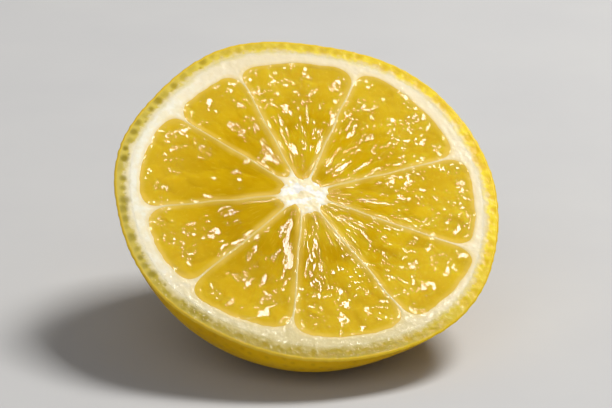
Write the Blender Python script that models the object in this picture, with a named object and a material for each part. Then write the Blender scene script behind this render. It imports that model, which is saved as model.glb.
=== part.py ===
"""The end of a lemon, cut across, lying on its rind with the cut face tipped up.

The lemon is one closed body: a UV sphere whose upper rings are spread out as the cut
face and whose lower rings are drawn down as the rind, past the shoulder to the nipple.
It is shaped upright, with the cut face level and the core on the Z axis, then tipped
over and pressed flat where the shoulder and the nipple touch the table.

Metres, +Z up. The origin is on the table, under the middle of the body.
"""

import math

import bmesh
import bpy
from mathutils import Matrix, Vector

MM = 0.001
NODE = "lemon_half"

# Cut face: its outline is a circle about the core with a few soft lobes.
FACE_RADIUS = 28.8 * MM
# (waves round the outline, height as a share of the radius, direction of a crest in degrees)
OUTLINE_LOBES = (
    (1, 0.029, -21),
    (2, 0.016, 100),
    (3, 0.007, 70),
    (4, 0.007, 28),
    (5, 0.005, 27),
    (6, 0.004, 40),
    (7, 0.006, 1),
)

# Body below the cut: a ball-like end of the whole lemon, cut some way from its middle.
HALF_LENGTH = 29.2 * MM
CUT_FROM_MIDDLE = 10.2 * MM

# The fuller side of the body, just below the cut.
BELLY_SWELL = 1.6 * MM
BELLY_DIRECTION = 248
BELLY_WIDTH = 36
BELLY_DEPTH = 6.3 * MM

# The blunt nipple at the end of the lemon.
NIPPLE_HEIGHT = 5.3 * MM
NIPPLE_RADIUS = 7.0 * MM
NIPPLE_SHARPNESS = 2.2

# Slow rise and fall of the rind.
RIND_UNEVENNESS = 0.16 * MM

# Pulp: (direction of the wall before the segment, its outer radius, its inner radius).
SEGMENTS = (
    (10.0, 25.4, 2.8),
    (60.0, 24.7, 2.8),
    (104.0, 23.4, 4.2),
    (135.5, 24.2, 3.7),
    (181.0, 24.3, 4.2),
    (217.0, 24.9, 3.0),
    (255.5, 25.7, 3.8),
    (295.0, 26.8, 3.9),
    (330.5, 25.5, 3.8),
)
WALL_THICKNESS = 0.5 * MM
CORNER_ROUNDING = 1.6 * MM
PULP_RECESS = 0.45 * MM
PULP_EDGE = 0.9 * MM

# How it lies.
FACE_TILT = 32.0
REST_PRESS = 0.35 * MM

# Mesh: columns in each segment, and rings across the face and down the rind.
COLUMNS_PER_SEGMENT = 12
FACE_RINGS = 24
RIND_RINGS = 20
WALL_CROWDING = 0.72

RIND_YELLOW = (0.78, 0.52, 0.02)
PITH_CREAM = (0.86, 0.80, 0.60)
PULP_GOLD = (0.66, 0.45, 0.05)


def clear_scene():
    """Removes every object that is in the scene."""
    for item in list(bpy.data.objects):
        bpy.data.objects.remove(item, do_unlink=True)


def outline_radius(angle):
    """Radius of the cut face from the core, in the given direction."""
    share = 1.0
    for waves, height, crest in OUTLINE_LOBES:
        share += height * math.cos(waves * (angle - math.radians(crest)))
    return FACE_RADIUS * share


def smooth_step(value):
    """Rises from 0 to 1 with flat ends while the value goes from 0 to 1."""
    held = min(max(value, 0.0), 1.0)
    return held * held * (3.0 - 2.0 * held)


def soft_least(first, second, blend):
    """The smaller of two distances, rounded off where they are nearly equal."""
    share = max(blend - abs(first - second), 0.0) / blend
    return min(first, second) - share * share * blend / 4.0


def segment_span(index):
    """Directions, in radians, of the walls before and after a segment."""
    before = SEGMENTS[index][0]
    after = SEGMENTS[(index + 1) % len(SEGMENTS)][0]
    if after <= before:
        after += 360.0
    return math.radians(before), math.radians(after)


def column_angle(column):
    """Direction of a column of vertices, with the columns crowded towards the walls."""
    index, step = divmod(column, COLUMNS_PER_SEGMENT)
    before, after = segment_span(index % len(SEGMENTS))
    share = step / COLUMNS_PER_SEGMENT
    share -= WALL_CROWDING * math.sin(math.tau * share) / math.tau
    return before + (after - before) * share


def face_ring_share(ring):
    """Radius of a ring on the face as a share of the outline, crowded at core and peel."""
    share = ring / FACE_RINGS
    return share - 0.6 * math.sin(math.tau * 2.0 * share) / (math.tau * 2.0)


def depth_inside_pulp(index, angle, radius):
    """Distance from the edge of a segment's pulp, positive inside it."""
    before, after = segment_span(index)
    outer = SEGMENTS[index][1] * MM
    inner = SEGMENTS[index][2] * MM
    from_before = radius * math.sin(min(angle - before, math.pi / 2.0)) - WALL_THICKNESS / 2.0
    from_after = radius * math.sin(min(after - angle, math.pi / 2.0)) - WALL_THICKNESS / 2.0
    sides = soft_least(from_before, from_after, WALL_THICKNESS)
    ends = min(outer - radius, radius - inner)
    return soft_least(sides, ends, CORNER_ROUNDING * 2.0)


def face_height(index, angle, radius):
    """Height of the cut face: the pulp lies a little below the pith and the walls."""
    inside = depth_inside_pulp(index, angle, radius)
    return -PULP_RECESS * smooth_step(inside / PULP_EDGE)


def face_point(column, ring):
    """A vertex of the cut face."""
    angle = column_angle(column)
    radius = outline_radius(angle) * face_ring_share(ring)
    index = (column // COLUMNS_PER_SEGMENT) % len(SEGMENTS)
    height = 0.0
    if ring < FACE_RINGS:
        height = face_height(index, angle, radius)
    return Vector((radius * math.cos(angle), radius * math.sin(angle), height))


def belly(angle, depth):
    """How far the fuller side swells out beyond the even body."""
    away = (math.degrees(angle) - BELLY_DIRECTION + 180.0) % 360.0 - 180.0
    around = math.exp(-abs(away / BELLY_WIDTH) ** 3)
    down = depth / BELLY_DEPTH
    return BELLY_SWELL * around * down * math.exp(1.0 - down)


def unevenness(angle, share):
    """Slow rise and fall of the rind, none at the cut and none at the nipple."""
    waves = math.sin(3.0 * angle + 5.0 * share) + math.sin(5.0 * angle - 7.0 * share + 1.0)
    return RIND_UNEVENNESS * waves * math.sin(math.pi * share)


def rind_point(column, ring):
    """A vertex of the rind, counted down from the cut."""
    angle = column_angle(column)
    share = ring / RIND_RINGS
    share = 0.65 * share + 0.35 * math.sin(share * math.pi / 2.0)
    cut_latitude = math.asin(CUT_FROM_MIDDLE / HALF_LENGTH)
    latitude = cut_latitude + (math.pi / 2.0 - cut_latitude) * share
    narrowing = math.cos(latitude) / math.cos(cut_latitude)
    depth = HALF_LENGTH * math.sin(latitude) - CUT_FROM_MIDDLE
    lobes = (outline_radius(angle) - FACE_RADIUS) * narrowing
    radius = narrowing * (FACE_RADIUS + lobes)
    nipple = NIPPLE_HEIGHT * math.exp(-((radius / NIPPLE_RADIUS) ** NIPPLE_SHARPNESS))
    radius += belly(angle, depth) * narrowing + unevenness(angle, share)
    if ring == RIND_RINGS:
        radius = 0.0
    return Vector((radius * math.cos(angle), radius * math.sin(angle), -depth - nipple))


def shape_upright(mesh):
    """Moves each vertex of a unit sphere to its place on the cut face or on the rind."""
    columns = COLUMNS_PER_SEGMENT * len(SEGMENTS)
    rings = FACE_RINGS + RIND_RINGS
    for vertex in mesh.verts:
        turn = math.atan2(vertex.co.y, vertex.co.x) % math.tau
        column = round(turn / math.tau * columns) % columns
        ring = round(math.acos(max(-1.0, min(1.0, vertex.co.z))) / math.pi * rings)
        if ring <= FACE_RINGS:
            vertex.co = face_point(column, ring)
        else:
            vertex.co = rind_point(column, ring - FACE_RINGS)


def lay_down(mesh):
    """Tips the body over, presses it flat where it touches, and centres it on the origin."""
    bmesh.ops.rotate(mesh, verts=mesh.verts, matrix=Matrix.Rotation(math.radians(FACE_TILT), 3, "X"))
    lowest = min(vertex.co.z for vertex in mesh.verts)
    for vertex in mesh.verts:
        vertex.co.z = max(vertex.co.z - lowest - REST_PRESS, 0.0)
    across = [vertex.co.x for vertex in mesh.verts]
    along = [vertex.co.y for vertex in mesh.verts]
    middle = Vector((min(across) + max(across), min(along) + max(along), 0.0)) / 2.0
    bmesh.ops.translate(mesh, verts=mesh.verts, vec=-middle)


def make_material(name, colour, roughness):
    """A Principled BSDF material."""
    material = bpy.data.materials.new(name)
    material.use_nodes = True
    shader = material.node_tree.nodes["Principled BSDF"]
    shader.inputs["Base Color"].default_value = (*colour, 1.0)
    shader.inputs["Roughness"].default_value = roughness
    shader.inputs["Metallic"].default_value = 0.0
    return material


def mark_materials(mesh):
    """Gives the upright body's faces their slot: 0 rind, 1 pith, walls and core, 2 pulp."""
    for face in mesh.faces:
        lowest = min(vertex.co.z for vertex in face.verts)
        middle = face.calc_center_median()
        if lowest < -PULP_RECESS * 1.01:
            face.material_index = 0
        elif middle.z < -PULP_RECESS / 2.0:
            face.material_index = 2
        else:
            face.material_index = 1


def make_lemon(collection):
    """The whole piece: rind, pith, walls, core and pulp in one closed body."""
    mesh = bmesh.new()
    bmesh.ops.create_uvsphere(
        mesh,
        u_segments=COLUMNS_PER_SEGMENT * len(SEGMENTS),
        v_segments=FACE_RINGS + RIND_RINGS,
        radius=1.0,
    )
    shape_upright(mesh)
    mark_materials(mesh)
    lay_down(mesh)
    data = bpy.data.meshes.new(NODE)
    mesh.to_mesh(data)
    mesh.free()
    data.shade_smooth()
    data.set_sharp_from_angle(angle=math.radians(40))
    data.materials.append(make_material("rind", RIND_YELLOW, 0.4))
    data.materials.append(make_material("pith", PITH_CREAM, 0.6))
    data.materials.append(make_material("pulp", PULP_GOLD, 0.15))
    lemon = bpy.data.objects.new(NODE, data)
    collection.objects.link(lemon)
    return lemon


def main():
    """Builds the lemon half in a collection of its own."""
    clear_scene()
    collection = bpy.data.collections.new("lemon")
    bpy.context.scene.collection.children.link(collection)
    make_lemon(collection)


main()
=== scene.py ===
# %% [markdown]
# # Half a lemon, cut side up
#
# A lemon has been cut across and laid on its rind, so its cut face leans up towards you. We build
# it the way the fruit is built: a yellow rind pitted by oil glands, a cream pith that also makes the
# thin walls between the segments, and nine wedges of pulp, each a bag of small juice sacs.
#
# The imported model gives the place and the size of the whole. Everything here is fitted to it.

# %% The frame
import math

import bpy
import numpy as np
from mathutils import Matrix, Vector
from mathutils.kdtree import KDTree


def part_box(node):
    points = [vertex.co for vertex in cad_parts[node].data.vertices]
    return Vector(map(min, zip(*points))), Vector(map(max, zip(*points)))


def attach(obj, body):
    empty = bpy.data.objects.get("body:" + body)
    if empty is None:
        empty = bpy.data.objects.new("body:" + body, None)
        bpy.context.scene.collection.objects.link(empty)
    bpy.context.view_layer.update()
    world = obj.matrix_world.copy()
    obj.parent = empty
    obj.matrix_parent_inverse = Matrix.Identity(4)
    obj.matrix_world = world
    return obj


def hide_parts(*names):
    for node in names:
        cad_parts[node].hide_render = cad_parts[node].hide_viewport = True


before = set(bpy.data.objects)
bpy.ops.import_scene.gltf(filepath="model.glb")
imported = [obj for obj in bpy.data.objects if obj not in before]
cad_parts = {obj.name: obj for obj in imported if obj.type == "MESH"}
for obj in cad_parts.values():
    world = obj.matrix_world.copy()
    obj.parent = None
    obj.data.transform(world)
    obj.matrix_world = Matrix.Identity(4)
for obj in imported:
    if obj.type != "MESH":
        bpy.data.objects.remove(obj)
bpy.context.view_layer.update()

MM = 0.001
NODE = "lemon_half"
low_corner, high_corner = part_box(NODE)
print("lemon half:", [round(side / MM, 1) for side in high_corner - low_corner], "mm")

# %% [markdown]
# ## Shapes written as formulas
#
# A whole lemon is a ball drawn out to a nipple, and this is the end of one. It could be sculpted from a
# sphere, but then every other piece would have to be fitted to it by eye. Written as formulas, the
# outline of the cut and the body below it can be asked for their radius in any direction. We work
# upright, in millimetres, with the core on the Z axis and the cut at zero, and tip the finished meshes
# over at the end.

# %% The lemon's shape
FACE_RADIUS = 28.8
# Soft lobes: (waves round the outline, height as a share of the radius, direction of a crest in degrees)
OUTLINE_LOBES = (
    (1, 0.029, -21),
    (2, 0.016, 100),
    (3, 0.007, 70),
    (4, 0.007, 28),
    (5, 0.005, 27),
    (6, 0.004, 40),
    (7, 0.006, 1),
)
# Below the cut: the ball, the fuller side of the body, the nipple, and the rind's slow rise and fall.
HALF_LENGTH = 29.2
CUT_FROM_MIDDLE = 10.2
BELLY_SWELL, BELLY_DIRECTION, BELLY_WIDTH, BELLY_DEPTH = 1.6, 248, 36, 6.3
NIPPLE_HEIGHT, NIPPLE_RADIUS, NIPPLE_SHARPNESS = 5.3, 7.0, 2.2
RIND_UNEVENNESS = 0.16


def outline(angle):
    """Radius of the cut face in a direction from the core."""
    share = 1.0
    for waves, height, crest in OUTLINE_LOBES:
        share = share + height * np.cos(waves * (angle - math.radians(crest)))
    return FACE_RADIUS * share


def rind_place(angle, share):
    """Radius and depth of the rind, from share 0 at the cut to share 1 at the nipple's tip."""
    cut_latitude = math.asin(CUT_FROM_MIDDLE / HALF_LENGTH)
    latitude = cut_latitude + (math.pi / 2 - cut_latitude) * share
    narrowing = np.cos(latitude) / math.cos(cut_latitude)
    depth = HALF_LENGTH * np.sin(latitude) - CUT_FROM_MIDDLE
    even = narrowing * (FACE_RADIUS + (outline(angle) - FACE_RADIUS) * narrowing)
    nipple = NIPPLE_HEIGHT * np.exp(-((even / NIPPLE_RADIUS) ** NIPPLE_SHARPNESS))
    away = (np.degrees(angle) - BELLY_DIRECTION + 180) % 360 - 180
    down = depth / BELLY_DEPTH
    belly = BELLY_SWELL * np.exp(-(np.abs(away / BELLY_WIDTH) ** 3)) * down * np.exp(1 - down)
    waves = np.sin(3 * angle + 5 * share) + np.sin(5 * angle - 7 * share + 1)
    uneven = RIND_UNEVENNESS * waves * np.sin(math.pi * share)
    return even + belly * narrowing + uneven, depth + nipple


def upright(angle, radius, height):
    """Points from cylinder coordinates about the core, as an array of x, y, z."""
    return np.stack(np.broadcast_arrays(radius * np.cos(angle), radius * np.sin(angle), height), -1)


rim_radii = outline(np.linspace(0, math.tau, 361))
print("from the core to the rim:", rim_radii.min().round(1), "to", rim_radii.max().round(1), "mm")

# %% [markdown]
# ## Laying it down
#
# The half tips over until its shoulder and its nipple touch the table, which turns the cut face up
# by 32 degrees. Blender could drop it with a rigid body simulation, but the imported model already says
# where it lies. So we tip a coarse copy of the body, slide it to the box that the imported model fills,
# and carry every piece into place with the same turn and slide.

# %% The turn and the slide
FACE_TILT = math.radians(32.0)
REST_PRESS = 0.35
TURN = np.array(
    (
        (1, 0, 0),
        (0, math.cos(FACE_TILT), -math.sin(FACE_TILT)),
        (0, math.sin(FACE_TILT), math.cos(FACE_TILT)),
    )
)
around, down_the_rind = np.meshgrid(np.linspace(0, math.tau, 721), np.linspace(0, 1, 121))
body_radius, body_depth = rind_place(around, down_the_rind)
tipped = upright(around, body_radius, -body_depth).reshape(-1, 3) @ TURN.T
middle = (np.array(low_corner) + np.array(high_corner)) / 2 / MM
SLIDE = middle - (tipped.min(0) + tipped.max(0)) / 2
SLIDE[2] = -tipped[:, 2].min() - REST_PRESS


def lay_down(points):
    """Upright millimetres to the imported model's metres, pressed flat on the table."""
    placed = points @ TURN.T + SLIDE
    placed[..., 2] = np.maximum(placed[..., 2], 0)
    return placed * MM


laid = lay_down(tipped @ TURN)
top_error = (laid[:, 2].max() - high_corner.z) / MM
print("slide:", SLIDE.round(2), "mm, and the top misses the model's by", round(top_error, 2), "mm")

# %% [markdown]
# ## The camera and the light
#
# The camera looks down on the table at 22 degrees and a little from the left. Its lens is long, about
# 140 mm, as a small thing is shot from well back, so the round face shows as a gentle oval and nothing
# near swells. A softbox hangs to the right, nearly overhead and a little behind: it is small enough to
# break into crisp glints on wet pulp, and it throws the shadow to the left. A wide weak one in front
# keeps the near rind from going dark.

# %% Camera
VIEW_SIDEWAYS = math.radians(12.5)
VIEW_HEIGHT = math.radians(22)
VIEW_DISTANCE = 350
LENS_LENGTH = 140.70588
# Where the camera aims, from the core: millimetres to the right and down in the view.
AIM_RIGHT, AIM_DOWN = 0.366, 1.683

core_place = Vector(lay_down(np.zeros((1, 3)))[0])
to_camera = Vector(
    (
        -math.sin(VIEW_SIDEWAYS) * math.cos(VIEW_HEIGHT),
        -math.cos(VIEW_SIDEWAYS) * math.cos(VIEW_HEIGHT),
        math.sin(VIEW_HEIGHT),
    )
)
view_right = Vector((math.cos(VIEW_SIDEWAYS), -math.sin(VIEW_SIDEWAYS), 0))
view_up = view_right.cross(-to_camera)
aim = core_place + (view_right * AIM_RIGHT - view_up * AIM_DOWN) * MM

camera_data = bpy.data.cameras.new("camera")
camera_data.sensor_width = 36
camera_data.lens = LENS_LENGTH
camera_data.clip_start = 0.01
camera = bpy.data.objects.new("camera", camera_data)
camera.location = aim + to_camera * VIEW_DISTANCE * MM
camera.rotation_euler = to_camera.to_track_quat("Z", "Y").to_euler()
bpy.context.scene.collection.objects.link(camera)
bpy.context.scene.camera = camera
print("camera:", [round(value, 3) for value in camera.location], "lens", round(camera_data.lens, 1))


# %% Lights
# (name, direction from the lemon, distance and size in metres, power in watts, colour)
SOFTBOXES = (
    ("key_softbox", (0.60, 0.20, 1.0), 0.9, 0.28, 8.8, (1.0, 0.98, 0.94)),
    ("front_fill", (-0.5, -1.0, 0.9), 1.4, 1.2, 3.8, (1.0, 0.99, 0.97)),
)
SKY_COLOUR = (0.96, 0.97, 1.0, 1)
SKY_STRENGTH = 0.17

for name, direction, distance, size, power, colour in SOFTBOXES:
    lamp = bpy.data.lights.new(name, "AREA")
    lamp.shape = "SQUARE"
    lamp.size = size
    lamp.energy = power
    lamp.color = colour
    holder = bpy.data.objects.new(name, lamp)
    towards = Vector(direction).normalized()
    holder.location = core_place + towards * distance
    holder.rotation_euler = towards.to_track_quat("Z", "Y").to_euler()
    bpy.context.scene.collection.objects.link(holder)
    print(name, "at", [round(value, 2) for value in holder.location], "gives", power, "W")

sky = bpy.data.worlds.new("studio")
sky.use_nodes = True
sky.node_tree.nodes["Background"].inputs["Color"].default_value = SKY_COLOUR
sky.node_tree.nodes["Background"].inputs["Strength"].default_value = SKY_STRENGTH
bpy.context.scene.world = sky
bpy.context.scene.view_settings.view_transform = "Standard"

# %% [markdown]
# ## Small tools
#
# Fruit has no straight border and no sharp corner, so we need a rise with flat ends, a rounded meeting of
# two distances, and a smooth random height. Noise textures could bend the meshes later, but heights
# worked out here become true geometry, and they come out the same on every run.


# %% Rounding and noise
def rise(value):
    """0 to 1 with flat ends while the value goes from 0 to 1."""
    held = np.clip(value, 0, 1)
    return held * held * (3 - 2 * held)


def soft_least(first, second, blend):
    """The smaller of two distances, rounded where they are nearly equal."""
    share = np.maximum(blend - np.abs(first - second), 0) / blend
    return np.minimum(first, second) - share * share * blend / 4


# Two large primes shuffle a cell's column and row into a place in the table of random heights.
GRAIN_TABLE, COLUMN_PRIME, ROW_PRIME = 4096, 73856093, 19349663


def grain(x, y, seed):
    """Smooth random heights from -1 to 1, about one unit across."""
    table = np.random.default_rng(seed).uniform(-1, 1, GRAIN_TABLE)
    left, low = np.floor(x).astype(np.int64), np.floor(y).astype(np.int64)
    across, up = rise(x - left), rise(y - low)

    def corner(right, above):
        shuffled = (left + right) * COLUMN_PRIME ^ (low + above) * ROW_PRIME
        return table[shuffled % GRAIN_TABLE]

    near = corner(0, 0) * (1 - across) + corner(1, 0) * across
    far = corner(0, 1) * (1 - across) + corner(1, 1) * across
    return near * (1 - up) + far * up


print("half way up a rise:", rise(0.5), "and a rounded meeting of 1 and 1:", soft_least(1.0, 1.0, 0.4))

# %% [markdown]
# Every piece here is a stack of rings closed by a point at each end, like the rings of a UV sphere. One
# helper joins such rings into a mesh, and another stores a number on each vertex, such as how deep it
# lies under the skin, so that a material can follow the true shape instead of guessing it.


# %% Meshes from rings
def signed_volume(mesh):
    """Six times the volume that the faces close, positive if they face outwards."""
    mesh.calc_loop_triangles()
    places = np.zeros(len(mesh.vertices) * 3, np.float32)
    mesh.vertices.foreach_get("co", places)
    corners = np.zeros(len(mesh.loop_triangles) * 3, np.int32)
    mesh.loop_triangles.foreach_get("vertices", corners)
    a, b, c = places.reshape(-1, 3)[corners.reshape(-1, 3)].transpose(1, 0, 2).astype(float)
    return float((a * np.cross(b, c)).sum())


def rings_to_mesh(name, rings, first_point, last_point):
    """A closed smooth mesh from rings of points, with a point at each end."""
    count, columns = rings.shape[:2]
    points = np.concatenate((rings.reshape(-1, 3), [first_point, last_point]))
    column = np.arange(columns)
    following = (column + 1) % columns
    faces = []
    for ring in range(count - 1):
        here, after = ring * columns, (ring + 1) * columns
        corners = (here + column, after + column, after + following, here + following)
        faces += np.stack(corners, 1).tolist()
    first, last = len(points) - 2, len(points) - 1
    faces += [(first, int(a), int(b)) for a, b in zip(column, following)]
    start = (count - 1) * columns
    faces += [(last, int(start + b), int(start + a)) for a, b in zip(column, following)]
    mesh = bpy.data.meshes.new(name)
    mesh.from_pydata(lay_down(points).tolist(), [], faces)
    if signed_volume(mesh) < 0:
        mesh.flip_normals()
    mesh.shade_smooth()
    piece = bpy.data.objects.new(name, mesh)
    bpy.context.scene.collection.objects.link(piece)
    print(name, "has", len(mesh.polygons), "faces")
    return piece


def store(piece, name, values, first=0.0, last=0.0):
    """Stores a number for each vertex of a ringed mesh, for its material to read."""
    attribute = piece.data.attributes.new(name, "FLOAT", "POINT")
    attribute.data.foreach_set("value", np.append(np.ravel(values), (first, last)).astype(np.float32))


# %% [markdown]
# ## Segments
#
# The cut crosses nine segments, of uneven width. Each is a wedge with rounded corners. Wedges could be
# cut from the face with booleans, but two pieces cut apart rarely meet well again. So one function tells
# how far inside its wedge a point lies. Pulp and pith both use it, and they meet along one line.

# %% Segments
# (direction of the wall before it, outer radius near that wall, outer radius near the next,
#  inner radius, liveliness: how ragged the knife left its sacs near the core, midway and outside)
SEGMENTS = (
    (10.0, 24.6, 25.6, 2.6, (0.70, 0.80, 0.42)),
    (60.0, 24.7, 24.4, 2.6, (0.60, 0.68, 0.50)),
    (104.0, 24.0, 23.1, 3.7, (0.45, 0.40, 0.60)),
    (135.5, 23.7, 24.1, 3.2, (0.10, 0.40, 0.65)),
    (181.0, 23.5, 24.3, 3.7, (0.45, 0.40, 0.60)),
    (217.0, 25.0, 24.3, 2.6, (0.50, 0.48, 0.38)),
    (255.5, 24.8, 26.1, 3.5, (0.75, 0.80, 0.68)),
    (295.0, 26.4, 26.9, 3.6, (1.00, 1.00, 0.58)),
    (330.5, 25.6, 25.4, 3.5, (0.90, 0.95, 0.72)),
)
WALL = 0.30
# Past the core a wall strays a little from its straight line, with a bend about every three millimetres.
WALL_WANDER, WANDER_START, BENDS_PER_MM = 0.14, 4, 0.30
OUTER_CORNER = 3.2
INNER_CORNER = 1.1
# Small scallops along a wedge's ends: (height in millimetres, scallops to a radian, seed)
OUTER_SCALLOPS = ((0.16, 11, 40), (0.06, 31, 50))
CORE_SCALLOPS = ((0.35, 7, 70),)
# Turns away from a wall are held between these, in radians, where their sine still grows.
LEAST_TURN, MOST_TURN = -0.5, 1.57


def segment_sides(index):
    """The directions of the walls before and after a segment."""
    before = SEGMENTS[index][0]
    after = SEGMENTS[(index + 1) % len(SEGMENTS)][0]
    return math.radians(before), math.radians(after + (360 if after < before else 0))


def wall_wander(index, radius):
    """How far a wall strays from its straight line, in millimetres."""
    bends = grain(radius * BENDS_PER_MM, radius * 0, 60 + index % len(SEGMENTS))
    return WALL_WANDER * bends * rise((radius - WANDER_START) / 6)


def scalloped(index, angle, scallops):
    """How far the end of a wedge stands out in a direction, in millimetres."""
    heights = [height * grain(angle * waves, angle * 0, seed + index) for height, waves, seed in scallops]
    return sum(heights)


def inside_segment(index, angle, radius):
    """How far a point lies inside a segment's pulp, in millimetres, negative outside."""
    before, after = segment_sides(index)
    start, finish, inner = SEGMENTS[index][1:4]
    share = (angle - before) / (after - before)
    outer = start + (finish - start) * share + scalloped(index, angle, OUTER_SCALLOPS)
    inner = inner + scalloped(index, angle, CORE_SCALLOPS)
    half_wall = WALL / 2
    off_before = np.sin(np.clip(angle - before, LEAST_TURN, MOST_TURN))
    off_after = np.sin(np.clip(after - angle, LEAST_TURN, MOST_TURN))
    from_before = radius * off_before - half_wall - wall_wander(index, radius)
    from_after = radius * off_after - half_wall + wall_wander(index + 1, radius)
    sides = soft_least(from_before, from_after, WALL)
    return soft_least(soft_least(sides, outer - radius, OUTER_CORNER), radius - inner, INNER_CORNER)


spans = [segment_sides(index) for index in range(len(SEGMENTS))]
widths = [math.degrees(after - before) for before, after in spans]
print(len(SEGMENTS), "segments, from", round(min(widths)), "to", round(max(widths)), "degrees wide")

# %% [markdown]
# ## Pulp
#
# A segment is packed with juice sacs that run in from the peel, and the knife opens most of them along
# their length. What is left is a wet, softly swelling surface, torn up here and there. It could be
# sculpted, but nine wedges are a lot to sculpt. So we scatter seeds over each wedge and build its relief
# in two layers: long low swellings for the sacs, and small tilted facets for the torn ones.

# %% Pulp relief
# Sacs and facets near the core are three times as long as wide, and hardly longer than wide near the peel.
LONGEST_STRETCH, STRETCH_LOSS = 3.0, 1.7
SAC_WIDTH, SAC_HEIGHT, SAC_SHARPNESS, SAC_ROUNDNESS = 2.4, 0.09, 9.0, 1.6
# The middle and the spread of how far a sac swells, as shares of the height above.
SAC_SWELLING = (0.7, 0.6)
# Sacs don't run straight: they stray by half a millimetre, with a bend about every millimetre and a half.
SAC_STRAY, STRAYS_PER_MM = 0.5, 0.6
# Torn film comes in patches. Where the three numbers for liveliness hold, and the patches' contrast.
LIVELY_RADII = (8, 14, 21)
PATCH_CONTRAST, PATCHES_PER_MM = 1.6, 0.45
SMALL_FACET, LARGE_FACET, FACET_LEAN, FACET_SHARPNESS = 0.6, 1.3, 0.015, 4.0
# Leans are slopes. Torn facets mostly lean to the right, the way the knife went.
TORN_SHARE, TORN_LEAN, TORN_SPREAD = 0.03, (0.12, 0.0), 0.07
SEED_SHAKE = 0.4
FARTHEST_SEED = 28


def scatter_wedge(index, width, source):
    """Seed points over a wedge, closer near the core: across, out, and their stretch along the radius."""
    before, after = segment_sides(index)
    seeds = []
    radius = SEGMENTS[index][3]
    while radius < FARTHEST_SEED:
        stretch = LONGEST_STRETCH - STRETCH_LOSS * float(rise((radius - 5) / 15))
        count = max(1, round(radius * (after - before) / width))
        for place in range(count):
            across = place + 0.5 + source.uniform(-SEED_SHAKE, SEED_SHAKE)
            out = radius + source.uniform(-SEED_SHAKE, SEED_SHAKE) * width * stretch
            seeds.append(((across / count - 0.5) * (after - before), out, stretch))
        radius += width * stretch
    return np.array(seeds)


def nearby_seeds(seeds, middle, angle, radius, width, sharpness):
    """The four seeds nearest to each point, their weights, and the point's offsets from them."""
    side = radius[..., None] * (angle[..., None] - middle - seeds[:, 0])
    along = radius[..., None] - seeds[:, 1]
    distance = (side * side + (along / seeds[:, 2]) ** 2) / width**2
    own = np.argpartition(distance, 4, axis=-1)[..., :4]
    side, along, distance = (np.take_along_axis(values, own, -1) for values in (side, along, distance))
    weight = np.exp((distance.min(-1, keepdims=True) - distance) * sharpness)
    return own, weight / weight.sum(-1, keepdims=True), side, along


def torn_relief(index, angle, radius, width, share, source):
    """Relief of small tilted facets a given width across, a share of them torn and steeper."""
    middle = sum(segment_sides(index)) / 2
    seeds = scatter_wedge(index, width, source)
    seed_angle, seed_radius = middle + seeds[:, 0], seeds[:, 1]
    seed_x, seed_y = seed_radius * np.cos(seed_angle), seed_radius * np.sin(seed_angle)
    crowded = rise(0.5 + 0.9 * grain(seed_x * 0.5, seed_y * 0.5, 300 + index))
    torn = source.uniform(0, 1, len(seeds)) < share * crowded
    lean = source.normal(0, FACET_LEAN, (len(seeds), 2))
    lean[torn] = source.normal(TORN_LEAN, TORN_SPREAD, (int(torn.sum()), 2))
    own, weight, side, along = nearby_seeds(seeds, middle, angle, radius, width, FACET_SHARPNESS)
    lean_out = lean[own, 0] * np.cos(angle)[..., None] + lean[own, 1] * np.sin(angle)[..., None]
    lean_side = lean[own, 1] * np.cos(angle)[..., None] - lean[own, 0] * np.sin(angle)[..., None]
    return (weight * -(lean_out * along + lean_side * side)).sum(-1)


def pulp_relief(index, angle, radius):
    """Height over a wedge, the tone of its sacs, and where its film is torn."""
    source = np.random.default_rng(100 + index)
    liveliness = SEGMENTS[index][4]
    x, y = radius * np.cos(angle), radius * np.sin(angle)
    bent = angle + SAC_STRAY * grain(x * STRAYS_PER_MM, y * STRAYS_PER_MM, 200 + index) / radius

    sacs = scatter_wedge(index, SAC_WIDTH, source)
    middle = sum(segment_sides(index)) / 2
    own, weight, side, along = nearby_seeds(sacs, middle, bent, radius, SAC_WIDTH, SAC_SHARPNESS)
    swelling = 1 - (side**2 + (along / sacs[own, 2]) ** 2) / SAC_WIDTH**2 * SAC_ROUNDNESS
    height = (weight * swelling * source.normal(*SAC_SWELLING, len(sacs))[own]).sum(-1) * SAC_HEIGHT
    tone = (weight * source.uniform(0, 1, len(sacs))[own]).sum(-1)

    torn_share = TORN_SHARE * liveliness[1]
    small = torn_relief(index, bent, radius, SMALL_FACET, torn_share, source)
    large = torn_relief(index, bent, radius, LARGE_FACET, torn_share, source)
    lively = np.interp(radius, LIVELY_RADII, liveliness)
    patchy = grain(x * PATCHES_PER_MM, y * PATCHES_PER_MM, 300 + index)
    patches = rise(0.5 + PATCH_CONTRAST * (patchy + 2 * lively - 1.0))
    return height + small + large, tone, patches


sac_counts = [len(scatter_wedge(index, SAC_WIDTH, np.random.default_rng(index))) for index in range(9)]
print("juice sacs that show in each segment:", sac_counts)

# %% [markdown]
# Over the sacs lies torn film, far thinner than paper and wet. Some of it lies flat in flaps a few
# millimetres long. The rest is in shards, long near the core and short near the peel. Shards of a quarter
# of a millimetre would need millions of faces, so each vertex only stores where it lies among them,
# counted in shards, and the pulp's finish leans them.

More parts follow.
